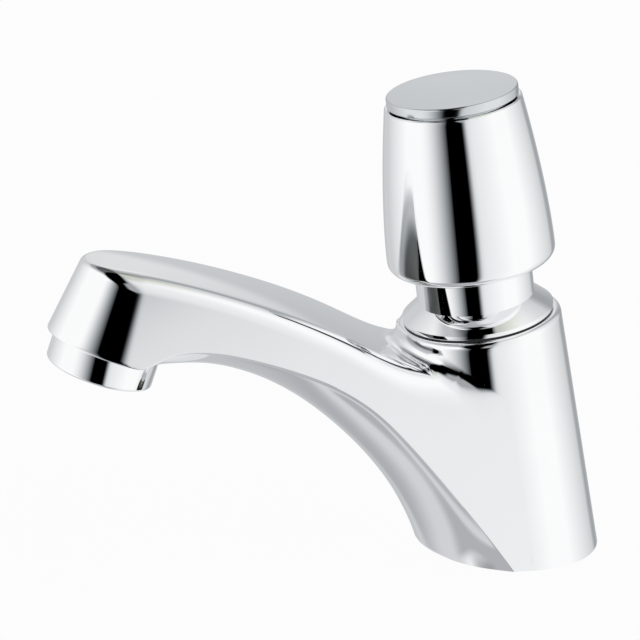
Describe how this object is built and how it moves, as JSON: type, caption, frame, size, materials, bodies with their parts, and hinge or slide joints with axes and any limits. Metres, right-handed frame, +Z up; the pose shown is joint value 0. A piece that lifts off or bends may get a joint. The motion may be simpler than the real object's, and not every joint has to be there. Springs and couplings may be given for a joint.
{
  "type": "push timed tap",
  "caption": "Deck-mounted basin tap with a leaning barrel, a push button that opens a self-closing timed valve, a rising spout with an aerator, and a threaded inlet tail.",
  "frame": {"origin": "centre of the base on the deck plane, which is also the centre of the deck hole", "axes": "+Z up, -Y along the spout to the outlet, +X to the right of someone looking along +Y"},
  "size_m": [0.05, 0.1534, 0.1772],
  "materials": {
    "chrome": "polished chrome plate",
    "chrome_disc": "polished chrome plate",
    "brass": "turned brass",
    "nickel": "nickel plated, turned",
    "steel": "stainless, drawn or pressed",
    "spring_steel": "spring wire",
    "black_rubber": "moulded, matt",
    "gasket_foam": "closed-cell gasket",
    "white_acetal": "moulded acetal",
    "grey_plastic": "moulded plastic",
    "blue_plastic": "moulded plastic"
  },
  "bodies": {
    "tap": {"tap_body": "chrome", "bonnet": "chrome", "aerator_housing": "chrome", "aerator_insert": "white_acetal", "flow_regulator": "blue_plastic", "aerator_gasket": "black_rubber", "bonnet_oring": "black_rubber", "spindle_bush": "brass", "spindle_seal": "black_rubber", "spring_washer": "steel", "return_spring": "spring_steel", "cartridge_housing": "white_acetal", "housing_orings": "black_rubber", "bleed_pin": "steel", "valve_seat": "brass", "threaded_tail": "nickel", "inlet_strainer": "grey_plastic", "base_gasket": "gasket_foam", "tail_rubber_washer": "black_rubber", "fixing_washer": "steel", "back_nut": "nickel"},
    "button": {"push_knob": "chrome", "top_disc": "chrome_disc", "knob_screw": "steel", "spindle": "steel", "piston": "brass", "piston_cup_seal": "black_rubber", "piston_ring": "spring_steel", "valve_washer": "black_rubber", "valve_holder": "brass", "valve_nut": "brass"}
  },
  "joints": [
    {"name": "button_press", "type": "slide", "parent": "tap", "child": "button", "axis": [0, 0.1874, -0.9823], "range_m": [0, 0.007], "stiffness_N_per_m": 900, "springref_m": -0.012, "deforming": ["return_spring"]}
  ]
}
